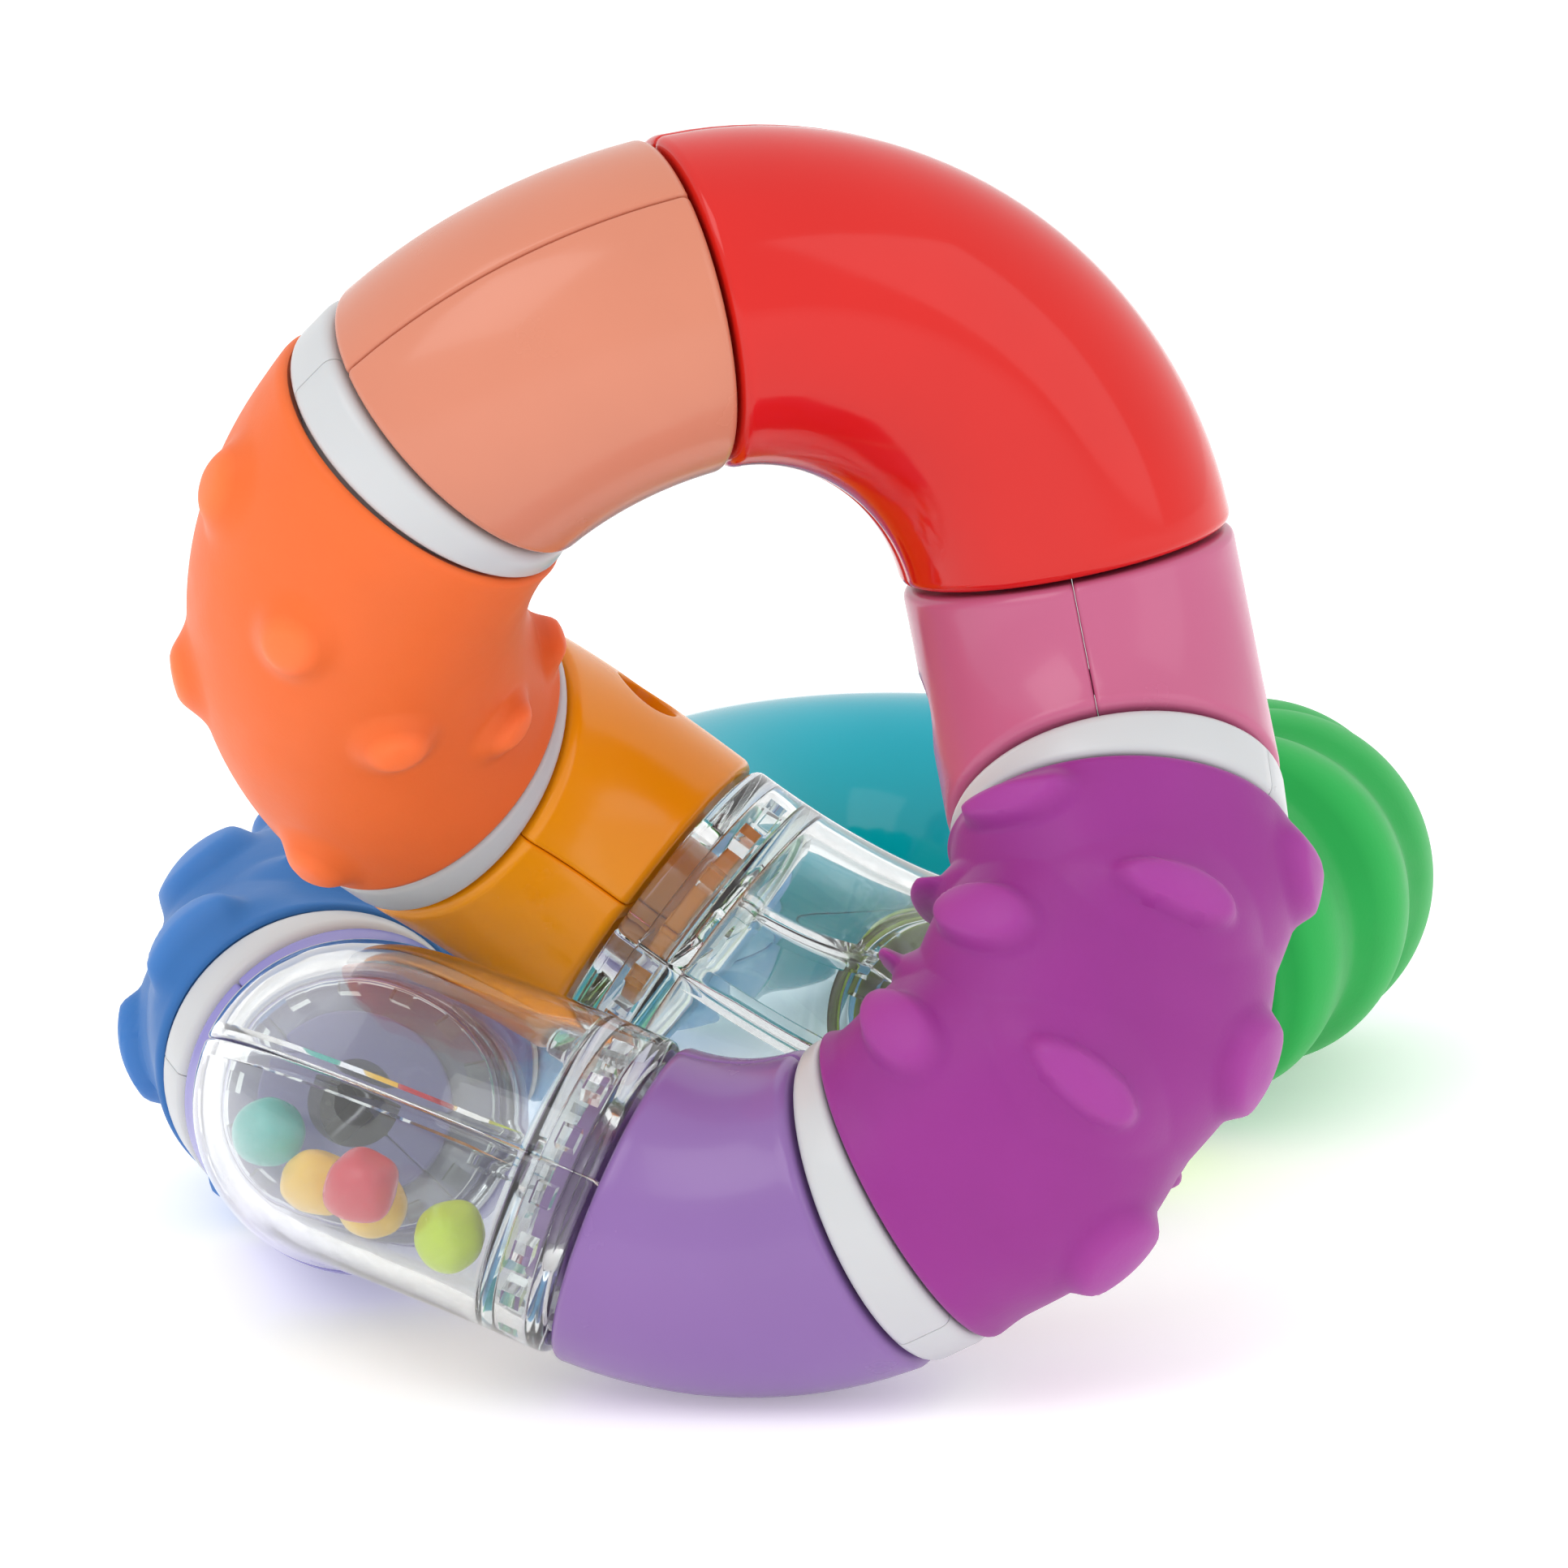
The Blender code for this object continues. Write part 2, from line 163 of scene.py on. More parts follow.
# Name, kind and colour of each link, in order round the loop. The clear ones share one clear plastic.
LINKS = (
    ("red", "hard", "CB1A13"),
    ("peach", "clip", "CA7E64"),
    ("orange", "soft", "E2672B"),
    ("yellow", "clip", "F59A06"),
    ("clear_a", "clear", None),
    ("lime", "clip", "A9D236"),
    ("green", "soft", "009A3E"),
    ("mint", "clip", "6CCBA6"),
    ("teal", "hard", "009FB2"),
    ("sky", "clip", "62A9DA"),
    ("blue", "soft", "306CAE"),
    ("periwinkle", "clip", "7F79BC"),
    ("clear_b", "clear", None),
    ("lavender", "clip", "8562A0"),
    ("purple", "soft", "8C2A83"),
    ("pink", "clip", "B95C80"),
)
WHITE_CORE = "C2C4C6"
NAMES = [link[0] for link in LINKS]
BEND_DEGREES = {"clip": 45, "hard": 90, "clear": 90, "soft": 90}
BENDS = {kind: math.radians(degrees) for kind, degrees in BEND_DEGREES.items()}

# Beads: node, degrees along the bend, degrees round the tube, material slot, colour
BEADS = (
    ("bead_teal", 20, -42, "bead_teal", "2BBDB4"),
    ("bead_yellow_1", 29, -78, "bead_yellow", "FFCB2B"),
    ("bead_yellow_2", 42, -95, "bead_yellow", "FFCB2B"),
    ("bead_red", 51, -58, "bead_red", "E02A44"),
    ("bead_lime", 67, -80, "bead_lime", "C8E414"),
)

# The stretches of a profile: the plane end zones and the bend between them
START, BENT, END = 0, 1, 2

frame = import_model()
cad_low, cad_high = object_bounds()


# ---------------------------------------------------------------- where the links are


def along_bend(angle):
    """The move from a link's start to the place this far round its bend."""
    centre = Vector((0, BEND_R, 0))
    return Matrix.Translation(centre) @ Matrix.Rotation(angle, 4, "Z") @ Matrix.Translation(-centre)


def frame_at(point, along, towards):
    """A frame at a point of the centre line, with X along it and Y turned towards a second direction."""
    along = along.normalized()
    side = (towards - along * towards.dot(along)).normalized()
    rows = Matrix((along, side, along.cross(side))).transposed().to_4x4()
    return Matrix.Translation(point) @ rows


def pivot_lines():
    """Each swivel's point and direction along the tube, by the number of the link that it begins."""
    lines = {}
    for joint in frame["joints"]:
        if not joint["name"].endswith("_swivel"):
            continue
        child, parent = (NAMES.index(joint[end].removesuffix("_link")) for end in ("child", "parent"))
        forward = (parent + 1) % len(NAMES) == child
        direction = Vector(joint["axis"])
        lines[child if forward else parent] = (Vector(joint["pos_m"]), direction if forward else -direction)
    return lines


def middle_of(*nodes):
    """The mean place of the distinct corners of these CAD nodes."""
    corners = np.array([vert.co for node in nodes for vert in frame["nodes"][node].data.vertices])
    return Vector(np.unique(corners.round(7), axis=0).mean(axis=0))


def link_starts():
    """Every link's start frame. The loop is open before one link, whose own halves give its bend plane."""
    lines = pivot_lines()
    open_link = next(number for number in range(len(NAMES)) if number not in lines)
    name, kind, _ = LINKS[open_link]
    point, along = lines[open_link + 1]
    inward = middle_of(f"{name}_front_half", f"{name}_back_half") - point
    start = frame_at(point, along, inward) @ along_bend(-BENDS[kind])
    lines[open_link] = (start.translation, start.col[0].to_3d())
    starts = []
    for number in range(len(NAMES)):
        point, along = lines[number]
        starts.append(frame_at(point, along, lines[(number + 1) % len(NAMES)][0] - point))
    starts[open_link] = start
    return dict(zip(NAMES, starts))


STARTS = link_starts()
BEND_OF = {name: BENDS[kind] for name, kind, _ in LINKS}


# ---------------------------------------------------------------- shapes


def settle(zone, along, across, height, bend):
    """Points of a straight tube bent round the torus. In its plane ends, along is the depth from the end."""
    arm = BEND_R - across
    dip = np.where(along > 0, BEND_R - np.sqrt(np.maximum(arm**2 - along**2, 0)), across)
    angle = along / BEND_R
    far = dip - BEND_R
    turned = (
        -along * math.cos(bend) - far * math.sin(bend),
        BEND_R - along * math.sin(bend) + far * math.cos(bend),
    )
    x = np.choose(zone, (along, arm * np.sin(angle), turned[0]))
    y = np.choose(zone, (dip, BEND_R - arm * np.cos(angle), turned[1]))
    return np.stack(np.broadcast_arrays(x, y, height), axis=-1)


def corner(zone, along, radius, size, start, turn=90, steps=5):
    """A quarter round about (along, radius) from start degrees, where 0 points along and 90 outwards."""
    angles = [math.radians(start + turn * step / steps) for step in range(steps + 1)]
    return [(zone, along + size * math.cos(angle), radius + size * math.sin(angle)) for angle in angles]


def mirrored(points):
    """Points of the start zone as points of the end zone, in the reverse order."""
    return [(END if zone == START else zone, along, radius) for zone, along, radius in reversed(points)]


def bent_run(first, last, radius, step):
    """Points at one radius along the bend, from the first to the last degree, about step degrees apart."""
    count = max(1, round(abs(last - first) / step))
    stops = [first + (last - first) * index / count for index in range(count + 1)]
    return [(BENT, BEND_R * math.radians(stop), radius) for stop in stops]


def rim(radius, size):
    """The rounded edge between a link's end face and its side."""
    face = PIVOT_GAP / 2
    return corner(START, face + size, radius - size, size, 180, -90)


def grid_faces(rows, columns, wrap_rows, wrap_columns):
    """The quads of a grid of points that may close on itself both ways."""
    faces = []
    for row in range(rows if wrap_rows else rows - 1):
        for column in range(columns if wrap_columns else columns - 1):
            beside = (column + 1) % columns
            here, below = row * columns, (row + 1) % rows * columns
            faces.append((here + column, here + beside, below + beside, below + column))
    return faces


def add_object(name, data):
    """A new object in the scene, with this data."""
    thing = bpy.data.objects.new(name, data)
    bpy.context.scene.collection.objects.link(thing)
    return thing


def shade(data):
    """Smooth shading, with creases where faces meet at more than SMOOTH_ANGLE."""
    data.shade_smooth()
    data.set_sharp_from_angle(angle=SMOOTH_ANGLE)


def new_piece(name, points, faces, link):
    """An object with these points, given in its link's start frame."""
    start = np.array(STARTS[link])
    points = points.reshape(-1, 3) @ start[:3, :3].T + start[:3, 3]
    data = bpy.data.meshes.new(name)
    data.from_pydata(points.tolist(), [], faces)
    mesh = bmesh.new()
    mesh.from_mesh(data)
    bmesh.ops.recalc_face_normals(mesh, faces=mesh.faces)
    mesh.to_mesh(data)
    mesh.free()
    shade(data)
    return add_object(name, data)


def profile_columns(profile):
    """A profile's points as one array each for their zone, their place along and their radius."""
    zone, along, radius = (np.array(column) for column in zip(*profile))
    return zone.astype(int), along, radius


def inset_directions(zone, along, radius, bend):
    """The mitred inward direction at each point of a closed profile, as (along, radius) parts."""
    line = np.stack((np.where(zone == END, BEND_R * bend - along, along), radius), axis=1)
    ahead = np.roll(line, -1, axis=0) - line
    ahead /= np.linalg.norm(ahead, axis=1)[:, None]
    area = np.sum(line[:, 0] * np.roll(line[:, 1], -1) - np.roll(line[:, 0], -1) * line[:, 1])
    inward = np.stack((-ahead[:, 1], ahead[:, 0]), axis=1) * np.sign(area)
    before = np.roll(inward, 1, axis=0)
    mitre = (inward + before) / np.maximum(1 + np.sum(inward * before, axis=1), 0.4)[:, None]
    mitre[:, 0] *= np.where(zone == END, -1, 1)
    return mitre[:, 0], mitre[:, 1]


def add_lip(rows, along, radius, lip):
    """Moves the marked points of a half's parting rows inwards, as the joint's thicker edge."""
    thicker = radius - LIP * lip
    moved = []
    for row_along, row_radius, turn in rows:
        lip_radius = row_radius - LIP * lip
        moved.append((row_along, lip_radius, np.arcsin(np.sin(turn) * row_radius / lip_radius)))
    moved.append((along, thicker, np.arcsin(LIP_HEIGHT / thicker)))
    moved.append((along, radius, np.arcsin((LIP_HEIGHT + LIP / 4) / radius)))
    return moved


def half_piece(name, link, profile, side, steps=HALF_STEPS, seam=HARD_SEAM, seam_steps=4, lip=None):
    """One half of a link, split along its bend plane, with its parting edges rounded.

    seam is the rounding on the inner and on the outer side. lip marks the profile's points that get a lip.
    """
    bend = BEND_OF[link]
    zone, along, radius = profile_columns(profile)
    inset_along, inset_radius = inset_directions(zone, along, radius, bend)
    seam_round = np.where(radius > TUBE_R - RIM, seam[1], seam[0])
    rows = []
    for step in range(seam_steps + 1):
        angle = math.pi / 2 * step / seam_steps
        height = SEAM_GAP / 2 + seam_round * (1 - math.cos(angle))
        inset = seam_round * (1 - math.sin(angle))
        row_radius = radius + inset * inset_radius
        rows.append((along + inset * inset_along, row_radius, np.arcsin(height / row_radius)))
    if lip is not None:
        rows = add_lip(rows, along, radius, lip)
    first = rows[-1][2]
    middle = [(along, radius, first + (math.pi - 2 * first) * step / steps) for step in range(1, steps)]
    last = [(row_along, row_radius, math.pi - turn) for row_along, row_radius, turn in reversed(rows)]
    points = [
        settle(zone, row_along, -row_radius * np.cos(turn), side * row_radius * np.sin(turn), bend)
        for row_along, row_radius, turn in rows + middle + last
    ]
    faces = grid_faces(len(points), len(profile), False, True)
    final = (len(points) - 1) * len(profile)
    faces += [tuple(range(len(profile))), tuple(range(final, final + len(profile)))]
    return new_piece(name, np.array(points), faces, link)


def turns_round(steps):
    """The angles of the sections of a whole piece, as a column."""
    return np.linspace(-math.pi, math.pi, steps, endpoint=False)[:, None]


def whole_piece(name, link, profile, steps, raise_by):
    """A closed section turned all the way round the tube. raise_by gives each point's added radius."""
    bend = BEND_OF[link]
    zone, along, radius = profile_columns(profile)
    turn = turns_round(steps)
    full = radius + raise_by(along, radius, turn)
    points = settle(zone, along, -full * np.cos(turn), full * np.sin(turn), bend)
    return new_piece(name, points, grid_faces(steps, len(profile), True, True), link)


def rings_piece(name, link, rings, place):
    """A closed solid through rings, each (radius, height), about the Z axis of a place in the link's frame.

    A height is a number or a function of a ring point's x and y.
    """
    turn = np.linspace(0, 2 * math.pi, RING_STEPS, endpoint=False)
    points = []
    for radius, height in rings:
        x, y = radius * np.cos(turn), radius * np.sin(turn)
        z = height(x, y) if callable(height) else np.full(RING_STEPS, height)
        points.append(np.stack((x, y, z), axis=1))
    points = np.array(points)
    faces = grid_faces(len(rings), RING_STEPS, False, True)
    final = (len(rings) - 1) * RING_STEPS
    faces += [tuple(range(RING_STEPS)), tuple(range(final, final + RING_STEPS))]
    spin = np.array(place)
    points = points @ spin[:3, :3].T + spin[:3, 3]
    return new_piece(name, points, faces, link)


def make_triangles(data):
    """Splits every face into triangles, which are always flat, and closes up slivers."""
    mesh = bmesh.new()
    mesh.from_mesh(data)
    bmesh.ops.dissolve_degenerate(mesh, dist=SLIVER, edges=mesh.edges)
    bmesh.ops.triangulate(mesh, faces=mesh.faces)
    mesh.to_mesh(data)
    mesh.free()


def combine(target, tool, operation):
    """Applies one exact Boolean and removes its tool."""
    make_triangles(target.data)
    make_triangles(tool.data)
    modifier = target.modifiers.new(operation.lower(), "BOOLEAN")
    modifier.operation = operation
    modifier.solver = "EXACT"
    modifier.object = tool
    bpy.context.view_layer.update()
    result = bpy.data.meshes.new_from_object(target.evaluated_get(bpy.context.evaluated_depsgraph_get()))
    target.modifiers.clear()
    target.data = result
    bpy.data.objects.remove(tool)
    make_triangles(result)
    shade(result)


# ---------------------------------------------------------------- 45 degree links


def hub():
    """The hollow snap hub, from the end face's inner corner out along its neck and back to the cavity."""
    wall = PIVOT_GAP / 2 + END_WALL
    collar = wall + COLLAR_GAP
    tip = collar + COLLAR
    return [
        (START, wall, TUBE_R - WALL),
        (START, wall, HUB_BORE_R),
        (START, -tip, HUB_BORE_R),
        *corner(START, HUB_LIP - tip, COLLAR_R - HUB_LIP, HUB_LIP, 180, -90, 3),
        *corner(START, -collar - HUB_LIP, COLLAR_R - HUB_LIP, HUB_LIP, 90, -90, 3),
        (START, -collar, NECK_R),
        (START, PIVOT_GAP / 2, NECK_R),
    ]


def clip_profile():
    """The section of a 45 degree link: a closed shell with a hub on both ends."""
    start = rim(TUBE_R, RIM)
    far_turn = BEND_DEGREES["clip"] - END_TURN
    outside = start + bent_run(END_TURN, far_turn, TUBE_R, FINE_TURN) + mirrored(start)
    inside = bent_run(far_turn, END_TURN, TUBE_R - WALL, COARSE_TURN)
    return outside + mirrored(hub()) + inside + hub()


def surface_height(x, y):
    """The tube's surface over a point of its bend plane, in the frame at the middle of the bend."""
    off = np.hypot(x, BEND_R - y) - BEND_R
    return np.sqrt(TUBE_R**2 - off**2)


def counterbore_rings():
    """The screw's clearance hole, its shelf and its counterbore, flared to a rounded mouth on the surface."""
    rings = [(SCREW_HOLE_R, -OVERCUT), (SCREW_HOLE_R, SHELF), (COUNTERBORE_R, SHELF)]
    steps = 4
    for step in range(steps + 1):
        angle = math.pi / 2 * step / steps
        depth = BORE_ROUND * (1 - math.sin(angle))
        radius = COUNTERBORE_R + BORE_ROUND * (1 - math.cos(angle))
        rings.append((radius, lambda x, y, depth=depth: surface_height(x, y) - depth))
    rings.append((COUNTERBORE_R + BORE_ROUND, lambda x, y: surface_height(x, y) + 2 * OVERCUT))
    return rings


def screw_axis(link):
    """The frame of a clip's screw: at the middle of the bend, with Z out through the back half."""
    return along_bend(BEND_OF[link] / 2) @ Matrix.Scale(BACK, 4, Vector((0, 0, 1)))


def add_counterbore(half, link):
    """The post in the back half, with its counterbore and screw hole."""
    place = screw_axis(link)
    post = rings_piece("post", link, [(BOSS_R, SEAM_GAP / 2), (BOSS_R, BOSS_TOP)], place)
    combine(half, post, "UNION")
    combine(half, rings_piece("cutter", link, counterbore_rings(), place), "DIFFERENCE")


def make_screw(name, link):
    """A pan head with a cross recess, seated on the shelf of its counterbore, and its shank."""
    place = screw_axis(link)
    seat = SHELF + SEAT_GAP
    top = seat + HEAD
    rings = [(SHANK_R, seat - SHANK), (SHANK_R, seat), (HEAD_R, seat), (HEAD_R, top - HEAD_CROWN)]
    steps = 6
    for step in range(1, steps):
        angle = math.pi / 2 * step / steps
        radius = HEAD_R - HEAD_CROWN * (1 - math.cos(angle))
        rings.append((radius, top - HEAD_CROWN * (1 - math.sin(angle))))
    rings += [(HEAD_R - HEAD_CROWN, top), (HEAD_FLAT_R, top + HEAD_RISE)]
    screw = rings_piece(name, link, rings, place)
    for turn in (0, math.pi / 2):
        bpy.ops.mesh.primitive_cube_add(size=1)
        recess = bpy.context.object
        size = Matrix.Diagonal((RECESS_LONG, RECESS_WIDE, 2 * RECESS_DEEP, 1))
        spot = Matrix.Rotation(turn, 4, "Z") @ Matrix.Translation((0, 0, top))
        recess.data.transform(STARTS[link] @ place @ spot @ size)
        combine(screw, recess, "DIFFERENCE")
    return screw


def make_clip(name, look, steel):
    """The pieces of a 45 degree link, each with its CAD node, material and slot."""
    pieces = []
    for side, word in SIDES:
        node = f"{name}_{word}_half"
        half = half_piece(f"{name}_{word}_shell", name, clip_profile(), side)
        if side == BACK:
            add_counterbore(half, name)
        pieces.append((half, node, look, f"{name}_plastic"))
    pieces.append((make_screw(f"{name}_pan_screw", name), f"{name}_screw", steel, "screw_steel"))
    return pieces


# ---------------------------------------------------------------- hard and clear links


def end_wall(inner, bulkhead):
    """The inner side of a 90 degree link's start: cavity, bulkhead and end wall, out to the bore's mouth."""
    wall = PIVOT_GAP / 2 + END_WALL
    soft = INNER_ROUND
    points = []
    if bulkhead:
        back = BULKHEAD_AT + BULKHEAD
        points += corner(START, back + 2 * soft, inner - 2 * soft, 2 * soft, 90, 90, 4)
        points += [(START, back, BULKHEAD_BORE_R), (START, BULKHEAD_AT, BULKHEAD_BORE_R)]
        points += corner(START, BULKHEAD_AT - soft, inner - soft, soft, 0, 90, 3)
    points += corner(START, wall + soft, inner - soft, soft, 90, 90, 3)
    points += corner(START, wall - soft, WALL_BORE_R + soft, soft, 0, -90, 3)
    points += corner(START, PIVOT_GAP / 2 + soft, WALL_BORE_R + soft, soft, 270, -90, 3)
    return points


def shell_profile(bulkhead):
    """The section of a glossy or clear 90 degree link."""
    start = rim(TUBE_R, RIM)
    outside = start + bent_run(END_TURN, 90 - END_TURN, TUBE_R, FINE_TURN) + mirrored(start)
    inner = TUBE_R - WALL
    first_turn = BULKHEAD_CAVITY_TURN if bulkhead else CAVITY_TURN
    inside = bent_run(90 - first_turn, first_turn, inner, FINE_TURN)
    return outside + mirrored(end_wall(inner, bulkhead)) + inside + end_wall(inner, bulkhead)


def add_teeth(half, link, side):
    """The clicker's small teeth on the inner wall of a clear half, between each end wall and its bulkhead."""
    blocks = bmesh.new()
    size = Matrix.Diagonal((TOOTH_LONG, TOOTH_HIGH, TOOTH_WIDE, 1))
    out = Matrix.Translation((TOOTH_AT, TUBE_R - WALL - TOOTH_HIGH / 4, 0))
    for end in (Matrix.Identity(4), along_bend(BEND_OF[link]) @ Matrix.Rotation(math.pi, 4, "Z")):
        for number in range(TEETH):
            turn = math.pi * (number + 0.5) / TEETH * side
            spot = Matrix.Rotation(turn, 4, "X") @ out
            bmesh.ops.create_cube(blocks, size=1, matrix=STARTS[link] @ end @ spot @ size)
    data = bpy.data.meshes.new("teeth")
    blocks.to_mesh(data)
    blocks.free()
    combine(half, add_object("teeth", data), "UNION")


def make_shells(name, clear, look, slot):
    """The two halves of a hard link. A clear one also has bulkheads, lips at its parting and teeth."""
    pieces = []
    profile = shell_profile(clear)
    lip = None
    if clear:
        lip = np.array([zone == BENT and radius < TUBE_R - WALL / 2 for zone, _, radius in profile])
    for side, word in SIDES:
        half = half_piece(f"{name}_{word}_shell", name, profile, side, steps=SHELL_STEPS, lip=lip)
        if clear:
            add_teeth(half, name, side)
        pieces.append((half, f"{name}_{word}_half", look, slot))
    return pieces


def make_bead(name, along, around, number):
    """A rattle bead with the soft lumps of its moulding."""
    mesh = bmesh.new()
    bmesh.ops.create_icosphere(mesh, subdivisions=5, radius=BEAD_R)
    for vert in mesh.verts:
        way = vert.co.normalized()
        waves = (3 * way.x + number, 3.4 * way.y + 2 * number, 3.8 * way.z + 1)
        vert.co *= 1 - BEAD_LUMP * (1 - math.prod(math.sin(wave) for wave in waves))
    data = bpy.data.meshes.new(name)
    mesh.to_mesh(data)
    mesh.free()
    data.shade_smooth()
    turn = math.radians(around)
    centre = Vector((0, -BEAD_ORBIT_R * math.cos(turn), BEAD_ORBIT_R * math.sin(turn)))
    data.transform(STARTS["clear_b"] @ along_bend(math.radians(along)) @ Matrix.Translation(centre))
    return add_object(name, data)


# ---------------------------------------------------------------- silicone links


def core_profile():
    """The section of the white core, with its wedge-shaped flange at both ends."""
    start = rim(TUBE_R, SOFT_RIM)
    edge = BEND_R * math.radians(FLANGE_TURN)
    flange = corner(BENT, edge - FLANGE_EDGE, TUBE_R - FLANGE_EDGE, FLANGE_EDGE, 90, -90, 4)
    flange.append((BENT, edge, CORE_R))
    far = BEND_R * math.radians(90)
    far_flange = [(BENT, far - along, radius) for _, along, radius in reversed(flange)]
    first_turn = FLANGE_TURN + COARSE_TURN
    middle = bent_run(first_turn, 90 - first_turn, CORE_R, COARSE_TURN)
    outside = start + flange + middle + far_flange + mirrored(start)
    inside = bent_run(90 - 2 * END_TURN, 2 * END_TURN, CORE_BORE_R, COARSE_TURN)
    return outside + mirrored(end_wall(CORE_BORE_R, False)) + inside + end_wall(CORE_BORE_R, False)


def sleeve_profile():
    """The section of the silicone sleeve between the flanges, with rounded edges."""
    near = BEND_R * math.radians(FLANGE_TURN + SLEEVE_GAP_TURN)
    far = BEND_R * math.radians(90 - FLANGE_TURN - SLEEVE_GAP_TURN)
    edge_radius = SLEEVE_R - SLEEVE_EDGE
    first = corner(BENT, near + SLEEVE_EDGE, edge_radius, SLEEVE_EDGE, 180, -90, 4)
    last = corner(BENT, far - SLEEVE_EDGE, edge_radius, SLEEVE_EDGE, 90, -90, 4)
    first_turn = FLANGE_TURN + 2
    outside = first + bent_run(first_turn, 90 - first_turn, SLEEVE_R, SLEEVE_TURN) + last
    return outside + bent_run(90 - first_turn, first_turn, SLEEVE_BORE_R, 4)


def fade(value):
    """A smooth step from 0 to 1."""
    value = np.clip(value, 0, 1)
    return value * value * (3 - 2 * value)


def sleeve_ends(along):
    """0 at both edges of a sleeve and 1 from a few degrees on."""
    turn = np.degrees(along / BEND_R)
    edge = FLANGE_TURN + SLEEVE_GAP_TURN
    return fade((turn - edge) / SLEEVE_FADE_TURN) * fade((90 - edge - turn) / SLEEVE_FADE_TURN)


def bump_field(bumps, length, shape):
    """The height of oval bumps, this long round the tube, as a function of a place on the sleeve.

    A bump is its degrees along the bend, its degrees round the tube and its width along the centre line.
    """

    def field(along, turn):
        height = np.zeros(np.broadcast(along, turn).shape)
        for bump_along, bump_turn, width in bumps:
            gap = (turn - math.radians(bump_turn) + math.pi) % (2 * math.pi) - math.pi
            east = (along - BEND_R * math.radians(bump_along)) / (width / 2)
            north = TUBE_R * gap / (length / 2)
            height = np.maximum(height, shape(np.hypot(east, north)))
        return height

    return field


def dome(off):
    """A round button: a domed crown with a soft foot."""
    foot, fall = 1.45, 0.25
    return fade(foot - off) * (1 - fall * np.minimum(off, 1) ** 2)


def drop(off):
    """A low mound that carries a raised drop with a broad crown and a soft edge."""
    edge, softness, fall, mound_reach, mound_share = 1.2, 0.42, 0.15, 1.8, 0.5
    crown = fade((edge - off) / softness) * (1 - fall * np.minimum(off, 1) ** 2)
    mound = np.exp(-((off / mound_reach) ** 2))
    return mound_share * mound + (1 - mound_share) * crown


def staggered(rows, columns, first_turn):
    """Bumps in columns round the tube that take the rows, each its width and its degrees along, in turn."""
    bumps = []
    for column in range(columns):
        width, places = rows[column % len(rows)]
        bumps += [(along, first_turn + 360 * column / columns, width) for along in places]
    return bumps


# The orange link's buttons, listed at degrees along the bend and round the tube
ORANGE_WIDTH = 5.2 * MM
ORANGE_LENGTH = 6.0 * MM
ORANGE_HEIGHT = 1.8 * MM
ORANGE_SINK = 0.1 * MM
ORANGE_BUMPS = [
    (along, turn, ORANGE_WIDTH)
    for along, turn in (
        (22, 0), (52, -3), (31, 52), (75, 42), (49, 91), (62, 132), (74, 178),
        (20, -120), (52, -132), (32, -68), (70, -66),
    )
]

# The blue and purple links' drops: wide rows between narrow ones
DROP_ROWS = ((6.0 * MM, (26, 52, 77)), (3.0 * MM, (38, 64)))
DROP_COLUMNS = 6
DROP_LENGTH = 9.8 * MM
DROP_HEIGHT = 3.2 * MM
DROP_SINK = 0.6 * MM
BLUE_BUMPS = staggered(DROP_ROWS, DROP_COLUMNS, 38)
PURPLE_BUMPS = staggered(DROP_ROWS, DROP_COLUMNS, -20)

# The green link's ribs: degrees to the first and from one to the next
FIRST_RIB = 15.5
RIB_SPAN = 19.67
RIB_HEIGHT = 1.6 * MM
RIB_SINK = 0.6 * MM
RIB_BREADTH = 0.7


def rib_height(along, turn):
    """Four rounded ribs round the tube, with narrower valleys between them."""
    phase = (np.degrees(along / BEND_R) - FIRST_RIB) / RIB_SPAN
    wave = (0.5 + 0.5 * np.cos(2 * math.pi * phase)) ** RIB_BREADTH
    return np.broadcast_to(wave, np.broadcast(along, turn).shape)


def make_soft(name, look, white, field, height, sink):
    """The core halves and the sleeve of a soft link. The field times the height raises its bumps or ribs."""
    pieces = []
    for side, word in SIDES:
        core = half_piece(f"{name}_core_{word}", name, core_profile(), side, seam=CORE_SEAM, seam_steps=2)
        pieces.append((core, f"{name}_core_{word}_half", white, "white_core"))

    def lift(along, radius, turn):
        # Only the outer quarter of the wall is raised, so the bore stays round
        outer = fade((radius - SLEEVE_BORE_R) / (SLEEVE_R - SLEEVE_BORE_R) * 4 - 3)
        return sleeve_ends(along) * outer * (height * field(along, turn) - sink)

    sleeve = whole_piece(f"{name}_silicone_sleeve", name, sleeve_profile(), SLEEVE_STEPS, lift)
    # The soft bumps flatten where they lie on the floor
    for vert in sleeve.data.vertices:
        vert.co.z = max(vert.co.z, cad_low.z)
    # How far each point is raised, which the silicone uses for the painted highlight on its raised parts
    along = profile_columns(sleeve_profile())[1]
    rise = (sleeve_ends(along) * field(along, turns_round(SLEEVE_STEPS))).astype(np.float32)
    layer = sleeve.data.attributes.new("rise", "FLOAT", "POINT")
    layer.data.foreach_set("value", np.ascontiguousarray(rise).ravel())
    pieces.append((sleeve, f"{name}_sleeve", look, f"{name}_silicone"))
    return pieces


# ---------------------------------------------------------------- materials

WHITE = (1, 1, 1, 1)


def linear(code):
    """A colour code as linear RGBA."""
    parts = [int(code[place : place + 2], 16) / 255 for place in (0, 2, 4)]
    return [part / 12.92 if part <= 0.04045 else ((part + 0.055) / 1.055) ** 2.4 for part in parts] + [1]


def scaled(colour, factor, lift=0.0):
    """A colour made lighter or darker, and lifted towards grey."""
    return [min(1, part * factor + lift) for part in colour[:3]] + [1]


